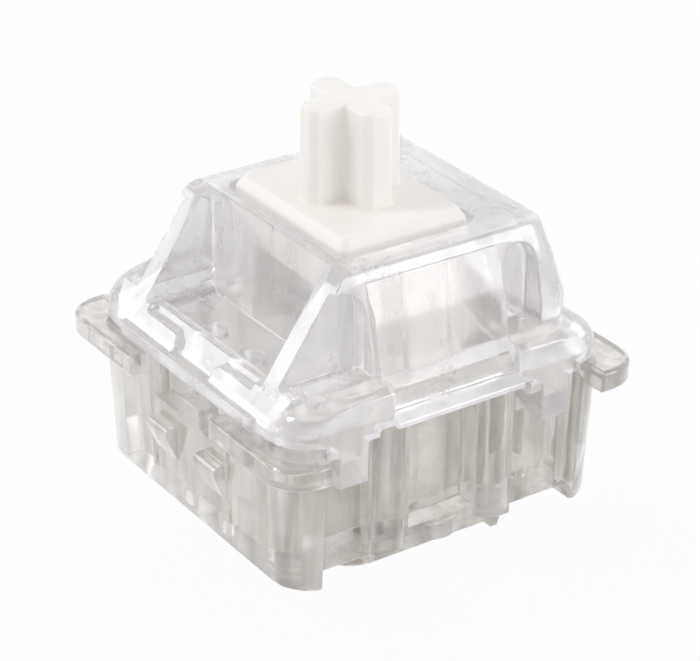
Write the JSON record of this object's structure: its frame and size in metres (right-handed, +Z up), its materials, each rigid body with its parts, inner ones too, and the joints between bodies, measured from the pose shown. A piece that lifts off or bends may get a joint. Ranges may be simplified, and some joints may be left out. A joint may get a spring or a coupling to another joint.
{
  "type": "mechanical keyboard switch",
  "caption": "Clear plate-mounted key switch: square snap-fit housing with flange, sprung cream slider with keycap cross, LED recess and solder pins.",
  "frame": {"origin": "centre of the base's underside, where it seats on the circuit board, on the axis of the centre post and the slider", "axes": "+Z up along the slider to the keycap, -Y towards the LED recess, +X towards one of the two clip-leg sides"},
  "size_m": [0.0156, 0.0156, 0.0187],
  "materials": {
    "clear_plastic": "clear polycarbonate, lightly frosted",
    "cream_plastic": "satin acetal",
    "spring_steel": "drawn wire",
    "leaf_metal": "tinned bronze sheet",
    "gold_alloy": "polished precious-metal alloy"
  },
  "bodies": {
    "housing": {"bottom_housing": "clear_plastic", "top_housing": "clear_plastic", "return_spring": "spring_steel", "fixed_contact_leaf": "leaf_metal", "moving_contact_leaf": "leaf_metal", "fixed_contact_point": "gold_alloy", "moving_contact_point": "gold_alloy"},
    "slider": {"stem": "cream_plastic"}
  },
  "joints": [
    {"name": "stem_press", "type": "slide", "parent": "housing", "child": "slider", "axis": [0, 0, -1], "range_m": [0, 0.004], "stiffness_N_per_m": 75, "springref_m": -0.004, "deforming": ["return_spring"]}
  ]
}
